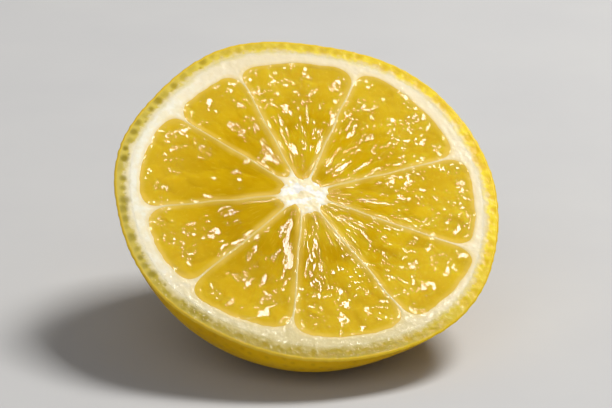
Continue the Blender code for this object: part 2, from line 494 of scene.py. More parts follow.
# %% Film on the pulp
# Flaps lying flat: (direction from the core in degrees, distance from it, half length, half width)
FLAPS = (
    (240, 7.0, 2.0, 1.0),
    (246, 9.0, 2.6, 0.9),
    (251, 11.5, 3.0, 0.6),
    (260, 7.5, 3.2, 0.25),
    (65, 9.5, 2.4, 0.5),
    (62, 13.5, 2.2, 0.35),
    (31, 8.0, 1.6, 0.5),
    (48, 14.0, 2.0, 0.5),
    (38, 15.0, 1.3, 0.35),
    (90, 8.3, 1.3, 0.6),
    (113, 9.0, 1.3, 0.3),
    (122, 8.0, 0.5, 1.2),
    (138, 9.8, 0.4, 0.7),
    (202, 14.8, 0.6, 0.6),
    (240, 17.0, 1.5, 0.4),
    (245, 22.3, 1.0, 0.9),
    (270, 9.4, 1.3, 0.4),
    (277, 19.5, 1.8, 0.5),
    (306, 10.0, 1.5, 0.4),
)
FLAP_RAGGEDNESS, RAGS_PER_MM = 0.45, 1.6
# A shard is this wide this far from the core. All of them narrow towards the core, as the sacs do.
SHARD_WIDTH, SHARD_RADIUS = 0.28, 12
LONGEST_SHARD, SHARD_SHORTENING = 1.9, 1.45


def flap_share(angle, radius):
    """1 where a wide flap of film lies flat, 0 elsewhere, with ragged borders."""
    found = np.zeros(radius.shape)
    x, y = radius * np.cos(angle), radius * np.sin(angle)
    ragged = FLAP_RAGGEDNESS * grain(x * RAGS_PER_MM, y * RAGS_PER_MM, 500)
    for direction, reach, half_length, half_width in FLAPS:
        turn = (angle - math.radians(direction) + math.pi) % math.tau - math.pi
        away = np.hypot((radius - reach) / half_length, reach * turn / half_width)
        found = np.maximum(found, rise(1.8 * (1.15 - away) + ragged))
    return found


def shard_place(index, angle, radius):
    """Where a point lies among the shards of film, counted in shards across and out from the core."""
    steps = np.linspace(0, 30, 301)
    length = LONGEST_SHARD - SHARD_SHORTENING * rise((steps - 7) / 12)
    out = np.interp(radius, steps, np.cumsum(0.1 / length))
    x, y = radius * np.cos(angle), radius * np.sin(angle)
    bend = 0.6 * grain(x * 0.5, y * 0.5, 400 + index)
    turn = angle - sum(segment_sides(index)) / 2
    return turn * SHARD_RADIUS / SHARD_WIDTH + bend, out + 20 * index


print(len(FLAPS), "flaps of film, the longest", 2 * max(flap[2] for flap in FLAPS), "mm long")

# %% [markdown]
# Each wedge is made on loops that shrink from its border to its middle. A square grid cut to shape would
# leave stairs along the border, but loops follow it, and they crowd there, where the pulp bends down to
# its wall. The loops then go on under the peel as a plain skirt, so no gap can show.

# %% Pulp
WEDGE_LOOPS, WEDGE_COLUMNS = 75, 360
WEDGE_CENTRE, WEDGE_REACH = 15.5, 14.9
PULP_LEVEL, PULP_DROP, PULP_EDGE = -0.07, 0.03, 0.8
PULP_THICKNESS = 5.0
FLAP_FLATNESS = 0.6
# The side away from the lamp, where the pulp near the core is painted darker, as shade.
SHADED_SIDE = math.radians(228)
# (how far beyond its border the pulp reaches under the peel, how far down)
SKIRT = ((0.10, 0.12), (0.35, 0.5), (0.9, 1.5), (0.8, 3.0), (-1.0, PULP_THICKNESS))


def wedge_rings(index, shares, directions):
    """Points of a wedge on loops round its middle, the last loop on the wedge's own border."""
    before, after = segment_sides(index)
    middle = (before + after) / 2

    def polar(reach):
        out, side = WEDGE_CENTRE + reach * np.cos(directions), reach * np.sin(directions)
        return middle + np.arctan2(side, out), np.hypot(out, side)

    # Forty halvings find the border in each direction to far less than a thousandth of a millimetre.
    near, far = np.zeros(len(directions)), np.full(len(directions), WEDGE_REACH)
    for _ in range(40):
        half = (near + far) / 2
        held = inside_segment(index, *polar(half)) > 0
        near, far = np.where(held, half, near), np.where(held, far, half)
    return polar(shares[:, None] * near)


def pulp_finish_numbers(index, angle, radius, tone, film, flap, inside):
    """The numbers that the pulp's finish reads, by name."""
    x, y = radius * np.cos(angle), radius * np.sin(angle)
    across, out = shard_place(index, angle, radius)
    # Painted shade: near the core, the pulp is darkened towards the lower left, the side away from the lamp.
    clear = (0.5 + 0.5 * np.cos(angle - SHADED_SIDE)) ** 2 * (1 - rise((radius - 10) / 12))
    return {
        "sac_tone": tone,
        "film": np.maximum(film, flap),
        "flap": flap,
        "painted_shade_low_side": clear,
        # A flap leans to face the lamp from wherever it lies on the cut.
        "lean_right": flap * (0.09 - 0.0027 * x),
        "lean_back": flap * (0.025 - 0.0023 * y),
        "from_wall": inside,
        "from_core": radius,
        # Segments that the knife left ragged are also the cloudier ones.
        "cloudy": 0 * radius + (SEGMENTS[index][4][1] - 0.4) * 1.7,
        "shard_across": across,
        "shard_out": out,
    }


def make_pulp(index):
    """One wedge of pulp: juicy relief on top, plain sides and floor."""
    shares = np.sin(np.linspace(0, math.pi / 2, WEDGE_LOOPS + 1)[1:]) ** 0.9
    directions = np.arange(WEDGE_COLUMNS) / WEDGE_COLUMNS * math.tau
    angle, radius = wedge_rings(index, shares, directions)
    height, tone, film = pulp_relief(index, angle, radius)
    flap = flap_share(angle, radius)
    height = height * (1 - FLAP_FLATNESS * flap)
    inside = np.maximum(inside_segment(index, angle, radius), 0)
    height = (PULP_LEVEL + height) * rise(inside / PULP_EDGE) - PULP_DROP
    rings = upright(angle, radius, height)
    centre, border = rings[0].mean(0), rings[-1]
    outward = (border - centre) / np.linalg.norm(border - centre, axis=-1, keepdims=True)
    skirt = np.stack([border + outward * reach - (0, 0, fall) for reach, fall in SKIRT])
    under = centre - (0, 0, PULP_THICKNESS)
    piece = rings_to_mesh(f"pulp_{index + 1}", np.concatenate((rings, skirt)), centre, under)
    numbers = pulp_finish_numbers(index, angle, radius, tone, film, flap, inside)
    for name, values in numbers.items():
        values = np.concatenate((values, np.repeat(values[-1:], len(SKIRT), 0)))
        store(piece, name, values, values[0].mean(), values[-1].mean())
    return piece


pulp = [make_pulp(index) for index in range(len(SEGMENTS))]

# %% [markdown]
# ## How the peel differs from place to place
#
# No fruit is even. Its yellow layer is thinner on two sides, and juice has run down to the lowest side of the
# cut. The peel is also painted with light and shade: a lit yellow on the side towards the lamp and a shaded
# olive on the far side. Each of these is a slow wave round the core, which pith and rind share so that they
# agree where they meet.

# %% Peel
RIM_WIDTH = 2.3
# The side towards the lamp, where the peel is painted lit, and the lowest side, where juice ran.
LIT_SIDE, DAMP_SIDE, DAMP_SHARPNESS = math.radians(5), math.radians(262), 5


def felt_depth(angle, depth):
    """Depth under the skin, shrunk where the yellow layer is thick, so that one colour scale fits all."""
    return depth * (0.86 + 0.07 * np.cos(2 * angle))


def lamp_facing(angle):
    """How far a direction points towards the lamp, from 0 to 1: painted light on the peel at 1, painted shade
    at 0.
    """
    return 0.5 + 0.5 * np.cos(angle - LIT_SIDE)


def dampness(angle):
    """How wet the cut peel is, from 0 to 1."""
    return (0.5 + 0.5 * np.cos(angle - DAMP_SIDE)) ** DAMP_SHARPNESS


lowest, topmost = dampness(np.radians((270, 90))).round(2)
print("dampness at the lowest side of the cut:", lowest, "and at the top:", topmost)

# %% [markdown]
# ## Pith, walls and core
#
# The white of the peel, the walls and the core are one spongy tissue, so they are one mesh: a disc whose
# top is sunk wherever there is pulp. The walls stand between the wedges, hardly thicker than paper. They
# could be nine thin sheets, but sheets would need joining to the core and the peel without a seam.

# %% Pith
COLUMNS_PER_SEGMENT = 80
WALL_CROWDING = 0.86
RECESS, RECESS_SLOPE = 5.4, 9
PITH_DROP, PITH_THICKNESS = 0.02, 6.8
# Unevenness of the sponge, and of the crumbly core: (height, bumps to a millimetre, seed)
SPONGE = ((0.008, 2.3, 11), (0.015, 1.1, 12))
CRUMBS = (0.025, 2.2, 13)
HOLLOW_DEPTH, HOLLOW_PLACE, HOLLOW_SIZE = 0.12, (-1.0, 0.1), (0.7, 0.8)
# The tissue's edge beside the pulp is worn down a little.
WEAR_DEPTH, WEAR_WIDTH = 0.025, 0.15
# Bands of rings on the top: (first and last share of the radius, how many), close at core and peel
PITH_BANDS = ((0.008, 0.20, 32), (0.23, 0.80, 14), (0.81, 1, 58))
# Rings of the underside: (distance in from the edge, depth)
PITH_UNDERSIDE = ((0.0, 0.03), (0.1, 2.0), (1.2, 6.0), (7.0, PITH_THICKNESS))


def wall_columns():
    """Directions for the columns of the pith, crowded at the walls."""
    share = np.arange(COLUMNS_PER_SEGMENT) / COLUMNS_PER_SEGMENT
    share = share - WALL_CROWDING * np.sin(math.tau * share) / math.tau
    return np.concatenate([before + (after - before) * share for before, after in spans])


def depth_in_pulp(angle, radius):
    """How far each point lies inside the nearest segment's pulp, negative on pith."""
    inside = np.full(radius.shape, -9.0)
    for index, (before, after) in enumerate(spans):
        for turn in (0, math.tau, -math.tau):
            here = (angle + turn >= before - 0.03) & (angle + turn <= after + 0.03)
            value = inside_segment(index, np.where(here, angle + turn, before), radius)
            inside = np.where(here, np.maximum(inside, value), inside)
    return inside


def pith_height(angle, radius, inside):
    """Height of the pith's top: spongy, crumbly at the core, and sunk where there is pulp."""
    x, y = radius * np.cos(angle), radius * np.sin(angle)
    sponge = sum(height * grain(x * bumps, y * bumps, seed) for height, bumps, seed in SPONGE)
    core = 1 - rise((radius - 2.5) / 2.5)
    crumb_height, crumb_bumps, crumb_seed = CRUMBS
    crumbs = core * crumb_height * grain(x * crumb_bumps, y * crumb_bumps, crumb_seed)
    off_x, off_y = (x - HOLLOW_PLACE[0]) / HOLLOW_SIZE[0], (y - HOLLOW_PLACE[1]) / HOLLOW_SIZE[1]
    hollow = -HOLLOW_DEPTH * np.exp(-(off_x**2) - off_y**2)
    top = (sponge + crumbs + hollow) * rise(-inside / 0.35)
    worn = WEAR_DEPTH * np.exp(np.minimum(inside, 0) / WEAR_WIDTH)
    sunk = np.maximum(inside - 0.12, 0) * RECESS_SLOPE
    return np.maximum(np.where(inside > 0, 0, top) - PITH_DROP - worn - sunk, -RECESS)


def make_pith():
    """The spongy disc with its walls and core."""
    angle = wall_columns()
    share = np.concatenate([np.linspace(*band) for band in PITH_BANDS])
    share = np.insert(share, -1, 0.9995)
    edge = outline(angle) - RIM_WIDTH
    radius = share[:, None] * edge
    angles = np.repeat(angle[None], len(radius), 0)
    inside = depth_in_pulp(angles, radius)
    height = pith_height(angles, radius, inside)
    height = -PITH_DROP + (height + PITH_DROP) * rise((edge - radius) / 0.5)
    top = upright(angles, radius, height)
    below = np.stack([upright(angle, edge - inset, -depth) for inset, depth in PITH_UNDERSIDE])
    piece = rings_to_mesh("pith", np.concatenate((top, below)), (0, 0, 0), (0, 0, -PITH_THICKNESS))

    # The underside is never seen, so its stored numbers are plain ones: deep, far out, far from pulp.
    plain = np.ones((len(below), len(angle)))
    from_core = np.concatenate((radius, plain * 25))
    under_skin = felt_depth(angles, outline(angles) - radius)
    store(piece, "skin_depth", np.concatenate((under_skin, plain * 5)), 28, 5)
    store(piece, "from_core", from_core, 0, 25)
    store(piece, "from_pulp", np.concatenate((-inside, plain * 5)), 3, 5)
    store(piece, "lamp_side", lamp_facing(angle) + 0 * from_core, 0.5, 0.5)
    store(piece, "damp", dampness(angle) * rise(from_core / 15))
    return piece


pith = make_pith()

# %% [markdown]
# ## Oil glands
#
# The yellow skin is full of oil glands, clear beads that lie just under the surface. From outside each
# one shows as a shallow dimple. A bump texture could fake the dimples, but its cells are either too even
# or too wild. Glands grow about evenly apart, like the seeds of a sunflower, so we place them that way
# and shake them a little. The knife opens a row of them along the rim.

# %% Oil glands
GOLDEN_ANGLE = math.pi * (3 - math.sqrt(5))
GLAND_SPACING, GLAND_SHAKE = 1.75, 0.26
DIMPLE_DEPTH, DIMPLE_RADIUS = 0.13, 0.46
# Along the rim: middle and spread of a gland's depth, then the range of its radius, its strength in the
# colour, and the gap to the next in degrees. Below one in three of them lies a smaller one.
RIM_DEPTH, RIM_RADIUS, RIM_STRENGTH, RIM_GAP = (1.0, 0.17), (0.65, 1.30), (0.2, 0.95), (3.0, 4.9)
SMALL_DEPTH, SMALL_RADIUS, SMALL_STRENGTH = (1.4, 1.7), (0.25, 0.4), (0.3, 0.8)
SMALL_SHARE, SMALL_TURN = 0.35, 2
rng = np.random.default_rng(9)


def scatter_dimples():
    """Places of the oil glands over the rind, spread like seeds in a sunflower, then shaken."""
    shares = np.linspace(0, 1, 400)
    radius, depth = rind_place(0 * shares, shares)
    steps = np.hypot(np.diff(radius), np.diff(depth)) * math.tau * (radius[1:] + radius[:-1]) / 2
    area = np.append(0, np.cumsum(steps))
    count = int(area[-1] / GLAND_SPACING**2)
    number = np.arange(count) + 0.5
    share = np.interp(number / count, area / area[-1], shares)
    angle = number * GOLDEN_ANGLE
    radius, depth = rind_place(angle, share)
    points = upright(angle, radius, -depth)
    print("oil glands on the rind:", count)
    return points + rng.normal(0, GLAND_SHAKE, points.shape)


def dimple_share(points, centres):
    """1 at the middle of a dimple, falling to 0 outside it."""
    tree = KDTree(len(centres))
    for number, centre in enumerate(centres):
        tree.insert(centre, number)
    tree.balance()
    near = np.array([tree.find(point)[2] for point in points.reshape(-1, 3)])
    return np.exp(-((near / DIMPLE_RADIUS) ** 2)).reshape(points.shape[:2])


def scatter_rim_glands():
    """Glands cut open along the rim: direction, depth under the skin, radius, strength."""
    glands = []
    turn = 0.0
    while turn < 360:
        depth, size, strength = rng.normal(*RIM_DEPTH), rng.uniform(*RIM_RADIUS), rng.uniform(*RIM_STRENGTH)
        glands.append((math.radians(turn), depth, size, strength))
        if rng.uniform() < SMALL_SHARE:
            depth, size = rng.uniform(*SMALL_DEPTH), rng.uniform(*SMALL_RADIUS)
            glands.append((math.radians(turn + SMALL_TURN), depth, size, rng.uniform(*SMALL_STRENGTH)))
        turn += rng.uniform(*RIM_GAP)
    print("glands cut open along the rim:", len(glands))
    return np.array(glands)


def gland_share(angle, depth, glands):
    """1 in the middle of a cut gland on the rim, 0 outside it."""
    found = np.zeros(angle.shape)
    for direction, gland_depth, size, strength in glands:
        turn = (angle - direction + math.pi) % math.tau - math.pi
        gap = np.hypot(turn * FACE_RADIUS, depth - gland_depth) / size
        found = np.maximum(found, strength * (1 - rise(gap * 1.4 - 0.4)))
    return found


# %% [markdown]
# ## Rind
#
# The rind is a shell 2.3 mm thick: the cut rim, the pitted outside, and a plain inside that holds the
# pith. A subdivided sphere with a Solidify modifier would be close, but rings let the rim have its own
# rows of faces, fine enough for the cut glands, and let the outside start exactly where the rim ends.

# %% Rind
RIND_COLUMNS = 720
OUTSIDE_ROWS = 103
RIM_ROWS = np.linspace(RIM_WIDTH - 0.2, 0.25, 14)
RIM_DEPTHS = np.concatenate(((RIM_WIDTH, RIM_WIDTH - 0.01), RIM_ROWS, (0.14, 0.06, 0.0)))
# The skin falls in a little beside a cut gland. The rim's eighth row from the outside tells where they are.
DENT_DEPTH, DENT_ROW = 0.11, -8
RIM_GLAND_DEPTH, RIM_DROP, EDGE_ROUNDING = 0.05, 0.02, 0.14


def make_rind():
    """A thin shell: the cut rim, the pitted outside, and a plain inside."""
    angle = np.arange(RIND_COLUMNS) / RIND_COLUMNS * math.tau
    angles = np.repeat(angle[None], len(RIM_DEPTHS), 0)
    depths = np.repeat(RIM_DEPTHS[:, None], RIND_COLUMNS, 1)
    glands = gland_share(angles, depths, scatter_rim_glands())
    edge_round = -EDGE_ROUNDING * (1 - rise(depths / 0.24))
    x, y = (FACE_RADIUS - depths) * np.cos(angles), (FACE_RADIUS - depths) * np.sin(angles)
    rough = 0.02 * grain(x * 2, y * 2, 21) * rise((RIM_WIDTH - depths) / 0.5)
    dents = DENT_DEPTH * glands[DENT_ROW]
    near_skin = 1 - rise(depths / 1.2)
    rim_height = edge_round + rough - RIM_GLAND_DEPTH * glands - RIM_DROP
    rim = upright(angles, outline(angles) - depths - dents * near_skin, rim_height)

    share = np.linspace(0, 1, OUTSIDE_ROWS + 2)[1:-1]
    angles_out = np.repeat(angle[None], len(share), 0)
    radius, depth = rind_place(angles_out, np.repeat(share[:, None], RIND_COLUMNS, 1))
    outside = upright(angles_out, radius, -depth)
    dimples = dimple_share(outside, scatter_dimples())
    at_rim = rise(share / 0.06)[:, None]
    sunk = DIMPLE_DEPTH * dimples * at_rim + dents * (1 - at_rim)
    outside = upright(angles_out, radius - sunk, sunk * share[:, None] - depth)

    inner_share = np.linspace(1, 0, 9)[1:-1]
    inner_radius, inner_depth = rind_place(angle[None], inner_share[:, None])
    inner_height = np.minimum(RIM_WIDTH * inner_share[:, None] - inner_depth, -0.05)
    inside = upright(angle[None], inner_radius - RIM_WIDTH, inner_height)
    tip = rind_place(0.0, 1.0)[1]
    rings = np.concatenate((inside, rim, outside))
    piece = rings_to_mesh("rind", rings, (0, 0, RIM_WIDTH - tip), (0, 0, -tip))

    zeros_in, zeros_out = np.zeros(inside.shape[:2]), np.zeros(outside.shape[:2])
    every_ring = np.zeros((len(rings), 1))
    under_skin = felt_depth(angles, depths)
    store(piece, "skin_depth", np.concatenate((zeros_in + RIM_WIDTH, under_skin, zeros_out)), RIM_WIDTH, 0)
    store(piece, "gland", np.concatenate((zeros_in, glands, zeros_out)))
    store(piece, "dimple", np.concatenate((zeros_in, 0 * depths, dimples)))
    store(piece, "cut_face", np.concatenate((zeros_in + 1, 0 * depths + 1, zeros_out)), 1, 0)
    store(piece, "lamp_side", lamp_facing(angle) + every_ring, 0.5, 0.5)
    store(piece, "damp", dampness(angle) + every_ring)
    return piece


rind = make_rind()

# %% [markdown]
# ## Finishes
#
# A finish could be a picture wrapped round the fruit, but nodes work from each point's own place and its
# stored numbers, so the borders in the peel stay crisp however near you come. Colours are given as they
# look on a screen, and one function turns them into the linear numbers that the renderer adds up. Another
# adds a node with its settings and links. With those two, a finish reads as a list of coats.


# %% Node tools
def screen_colour(code):
    """A #rrggbb colour as linear red, green, blue and alpha."""
    values = [int(code[place : place + 2], 16) / 255 for place in (1, 3, 5)]
    return [value / 12.92 if value < 0.04045 else ((value + 0.055) / 1.055) ** 2.4 for value in values] + [1]


def add(tree, kind, settings=(), inputs=(), output=0):
    """Adds a node with its settings. An input, by order, number or name, is a value, a colour or a link."""
    node = tree.nodes.new("ShaderNode" + kind)
    for name, value in dict(settings).items():
        setattr(node, name, value)
    given = inputs if isinstance(inputs, dict) else dict(enumerate(inputs))
    for place, value in given.items():
        if isinstance(value, bpy.types.NodeSocket):
            tree.links.new(value, node.inputs[place])
        else:
            node.inputs[place].default_value = screen_colour(value) if isinstance(value, str) else value
    return node.outputs[output] if node.outputs else node


def new_finish(name, numbers=()):
    """A material, its empty node tree, a point's place on the piece, and the numbers stored there."""
    material = bpy.data.materials.new(name)
    material.use_nodes = True
    tree = material.node_tree
    tree.nodes.clear()
    place = add(tree, "TexCoord", output="Object")
    stored = {}
    for number in numbers:
        stored[number] = add(tree, "Attribute", {"attribute_name": number}, output="Fac")
    return material, tree, place, stored


# The settings that come back again and again, and the places of a Mix node's colour inputs and output.
COLOURS = {"data_type": "RGBA"}
SMOOTH = {"interpolation_type": "SMOOTHSTEP"}
ADD, SUBTRACT, TIMES = {"operation": "ADD"}, {"operation": "SUBTRACT"}, {"operation": "MULTIPLY"}
TIMES_THEN_ADD = {"operation": "MULTIPLY_ADD"}
SHARE, UNDER, OVER, MIXED = 0, 6, 7, 2
print("#E2B400 in linear numbers:", [round(value, 3) for value in screen_colour("#E2B400")])

# %% [markdown]
# The pulp is clear golden juice, in sacs of thin pale film that a knife has opened. Light goes in and comes
# back yellow, so it has strong subsurface scattering, deep in red and green and shallow in blue.
#
# Its gloss is only the juice that stands on it. That is a clear coat, with an index of refraction of 1.34,
# just above water's, and hardly any roughness, over a body that has no gloss of its own. On torn film it
# doesn't lie level. It stands on shards that each lean their own way, and those that face the lamp flash.
# So the coat has normals of its own: flat cells of a Voronoi pattern, each with a random lean, and a
# second lean that whole sheets of neighbours share.

# %% Shards of wet film
SHARD_NUMBERS = ("film", "flap", "lean_right", "lean_back")
LEVEL_STEEPNESS, TORN_STEEPNESS = 0.05, 0.44
FLAP_CALM = 0.26
FILM_DRAG = 0.12


def shard_normals(tree, lie, stored):
    """Normals of flat shards of film, each leaning its own way, steeper where the film is torn."""
    # Scales here are counted in shards, which are about a quarter of a millimetre wide.
    ragged = add(tree, "TexNoise", {}, {"Vector": lie, "Scale": 2.2, "Detail": 1.0}, "Color")
    moved = add(tree, "VectorMath", TIMES_THEN_ADD, (ragged, (1.0, 1.3, 0), lie))
    shards = add(tree, "TexVoronoi", {"voronoi_dimensions": "2D"}, {"Vector": moved, "Scale": 1.0}, "Color")
    own_lean = add(tree, "VectorMath", SUBTRACT, (shards, (0.5, 0.5, 0.5)))
    sheets = add(tree, "TexNoise", {}, {"Vector": lie, "Scale": 0.28, "Detail": 0.0}, "Color")
    shared_lean = add(tree, "VectorMath", SUBTRACT, (sheets, (0.5, 0.5, 0.5)))
    both = add(tree, "VectorMath", TIMES_THEN_ADD, (shared_lean, (3.2, 3.2, 3.2), own_lean))

    steep = add(tree, "MapRange", SMOOTH, (stored["film"], 0.0, 1.0, LEVEL_STEEPNESS, TORN_STEEPNESS))
    calm = add(tree, "MapRange", SMOOTH, (stored["flap"], 0.1, 0.7, 1.0, FLAP_CALM))
    steepness = add(tree, "Math", TIMES, (steep, calm))
    leaning = add(tree, "VectorMath", {"operation": "SCALE"}, {"Vector": both, "Scale": steepness})

    # The knife dragged torn film to one side, and flaps settled facing the lamp.
    drag = add(tree, "MapRange", SMOOTH, (stored["film"], 0.2, 0.9, 0.0, FILM_DRAG))
    right = add(tree, "Math", ADD, (drag, stored["lean_right"]))
    pull = add(tree, "CombineXYZ", {}, (right, stored["lean_back"]))
    surface = add(tree, "NewGeometry", output="Normal")
    pulled = add(tree, "VectorMath", ADD, (surface, pull))
    tilted = add(tree, "VectorMath", ADD, (pulled, leaning))
    return add(tree, "VectorMath", {"operation": "NORMALIZE"}, (tilted,))


steepest = math.degrees(math.atan(TORN_STEEPNESS / 2))
print("where film is torn, a shard's own lean reaches", round(steepest), "degrees to each side")

# %% [markdown]
# The juice isn't one colour. Each sac has its own tone, the pulp is clouded where sacs were bruised,
# strands of pale film cross it, and it pales towards the peel and along the walls. Near the core, on the side
# away from the lamp, it is painted a darker gold as shade. We lay these on one another as coats, each with
# its
# share: a stored number, a noise, or both. At a wall the scattering fades out, because light that crosses
# into the white tissue would come back grey.

# %% Pulp finish
TONE_NUMBERS = ("sac_tone", "painted_shade_low_side", "cloudy", "from_wall", "from_core")
PLACE_NUMBERS = ("shard_across", "shard_out")
CLOUD_SIZE = 5.0


def make_pulp_finish():
    """Wet lemon pulp: golden juice that scatters light, under a film of it that mirrors the lamp."""
    numbers = (*SHARD_NUMBERS, *TONE_NUMBERS, *PLACE_NUMBERS)
    material, tree, place, stored = new_finish("wet lemon pulp", numbers)
    lie = add(tree, "CombineXYZ", {}, (stored["shard_across"], stored["shard_out"]))
    cloud = add(tree, "TexNoise", {}, {"Vector": place, "Scale": 1 / (CLOUD_SIZE * MM), "Detail": 2.0})
    # A strand of film is about one shard wide, so its noise is counted in shards.
    strand = add(tree, "TexNoise", {}, {"Vector": lie, "Scale": 0.8, "Detail": 3.0})
    from_wall = stored["from_wall"]

    haze = add(tree, "MapRange", SMOOTH, (stored["cloudy"], 0.0, 1.0, 0.25, 0.8))
    # Painted shade: a darker gold near the core, on the side away from the lamp.
    clear = add(tree, "MapRange", SMOOTH, (stored["painted_shade_low_side"], 0.0, 1.0, 0.0, 0.7))
    clouds = add(tree, "MapRange", SMOOTH, (cloud, 0.42, 0.66, 0.0, 1.0))
    strands = add(tree, "MapRange", SMOOTH, (strand, 0.55, 0.72, 0.0, 1.0))
    outward = add(tree, "MapRange", SMOOTH, (stored["from_core"], 12.0, 25.0, 0.0, 0.5))
    beside_wall = add(tree, "MapRange", SMOOTH, (from_wall, 0.0, 1.0, 0.9, 0.0))
    uneven = add(tree, "MapRange", SMOOTH, (cloud, 0.35, 0.65, 0.45, 1.0))
    coats = (
        (stored["sac_tone"], "#DAB000"),
        (clear, "#BC9200"),
        (add(tree, "Math", TIMES, (clouds, haze)), "#E4C018"),
        (add(tree, "Math", TIMES, (strands, haze)), "#EACC3C"),
        (outward, "#E4C236"),
        (add(tree, "Math", TIMES, (beside_wall, uneven)), "#EEC85C"),
    )
    colour = "#CCA200"
    for share, coat in coats:
        colour = add(tree, "Mix", COLOURS, {SHARE: share, UNDER: colour, OVER: coat}, MIXED)

    body = {
        "Base Color": colour,
        "Subsurface Weight": add(tree, "MapRange", SMOOTH, (from_wall, 0.1, 1.5, 0.1, 1.0)),
        "Subsurface Radius": (1.0, 0.95, 0.2),
        "Subsurface Scale": 2.0 * MM,
        "Roughness": 0.3,
        "Specular IOR Level": 0.0,
        "IOR": 1.36,
        "Coat Weight": 0.66,
        "Coat Roughness": 0.03,
        "Coat IOR": 1.34,
        "Coat Normal": shard_normals(tree, lie, stored),
    }
    add(tree, "OutputMaterial", {}, {"Surface": add(tree, "BsdfPrincipled", {}, body)})
    return material


pulp_finish = make_pulp_finish()
print(pulp_finish.name, "has", len(pulp_finish.node_tree.nodes), "nodes")

# %% [markdown]
# Pith and rind are one peel, so they share one function for the colour of its cut: skin yellow at the edge,
# then clouded yellow, then cream. A noise of the size of the tissue's own blotches pushes the borders to and
# fro, as no border in a fruit is sharp. The skin is painted a lit yellow on the side towards the lamp and a
# shaded green-grey on the far side, and the pith is creamier towards the lamp and whiter away from it. Where
# juice has soaked in, both turn darker and browner.

# %% Peel colours
BLOTCH_SIZE = 1.6
PEEL_NUMBERS = ("skin_depth", "lamp_side", "damp")


def peel_cut_colour(tree, place, stored):
    """Colour of the cut peel by its depth under the skin."""
    lamp_side = stored["lamp_side"]
    grainy = {"Vector": place, "Scale": 1 / (BLOTCH_SIZE * MM), "Detail": 3.0, "Roughness": 0.6}
    blotch = add(tree, "TexNoise", {}, grainy)
    shift = add(tree, "MapRange", SMOOTH, (blotch, 0.3, 0.7, -0.35, 0.35))
    depth = add(tree, "Math", ADD, (stored["skin_depth"], shift))
    wet = add(tree, "MapRange", SMOOTH, (stored["damp"], 0.0, 1.0, 0.0, 0.8))

    speck = add(tree, "MapRange", SMOOTH, (blotch, 0.45, 0.6, 0.0, 1.0))
    # Painted light and shade: the skin is a lit yellow towards the lamp and a shaded green-grey away from it.
    lit_yellow = add(tree, "Mix", COLOURS, {SHARE: speck, UNDER: "#FADF24", OVER: "#ECC80A"}, MIXED)
    skin = add(tree, "Mix", COLOURS, {SHARE: lamp_side, UNDER: "#D2BE58", OVER: lit_yellow}, MIXED)
    wet_skin = add(tree, "Mix", COLOURS, {SHARE: wet, UNDER: skin, OVER: "#A48C20"}, MIXED)

    curd = add(tree, "MapRange", SMOOTH, (blotch, 0.35, 0.65, 0.0, 1.0))
    white = add(tree, "Mix", COLOURS, {SHARE: curd, UNDER: "#FEF7E4", OVER: "#F8ECCC"}, MIXED)
    # The same share makes the pith creamier towards the lamp and whiter away from it.
    cream_toward_lamp = add(tree, "MapRange", SMOOTH, (lamp_side, 0.1, 0.5, 0.0, 1.0))
    cream = add(tree, "Mix", COLOURS, {SHARE: cream_toward_lamp, UNDER: white, OVER: "#EBDCB4"}, MIXED)
    wet_cream = add(tree, "Mix", COLOURS, {SHARE: wet, UNDER: cream, OVER: "#D4C27C"}, MIXED)

    clouded = add(tree, "Mix", COLOURS, {SHARE: 0.55, UNDER: wet_skin, OVER: wet_cream}, MIXED)
    to_cream = add(tree, "MapRange", SMOOTH, (depth, 1.6, 2.3, 0.0, 1.0))
    inner = add(tree, "Mix", COLOURS, {SHARE: to_cream, UNDER: clouded, OVER: wet_cream}, MIXED)
    to_inner = add(tree, "MapRange", SMOOTH, (depth, 1.1, 1.7, 0.0, 1.0))
    return add(tree, "Mix", COLOURS, {SHARE: to_inner, UNDER: wet_skin, OVER: inner}, MIXED)


print("borders in the peel wander over blotches", BLOTCH_SIZE, "mm across")

# %% [markdown]
# Pith is a dry white sponge, damp where the knife passed. It scatters light widely, which softens it, and its
# fibres leave a fine grain: a faint bump for the sponge, and a stronger one for the thin juice on it, which
# is what glitters. Real fibres are under a tenth of a millimetre, too fine to show from here, so the grain
# is drawn at nearly a millimetre. The walls are the same tissue but as thin as film, so juice shines
# through and turns them straw yellow.

# %% Pith finish
GRAIN_SIZE, PATCH_SIZE = 0.9, 1.4


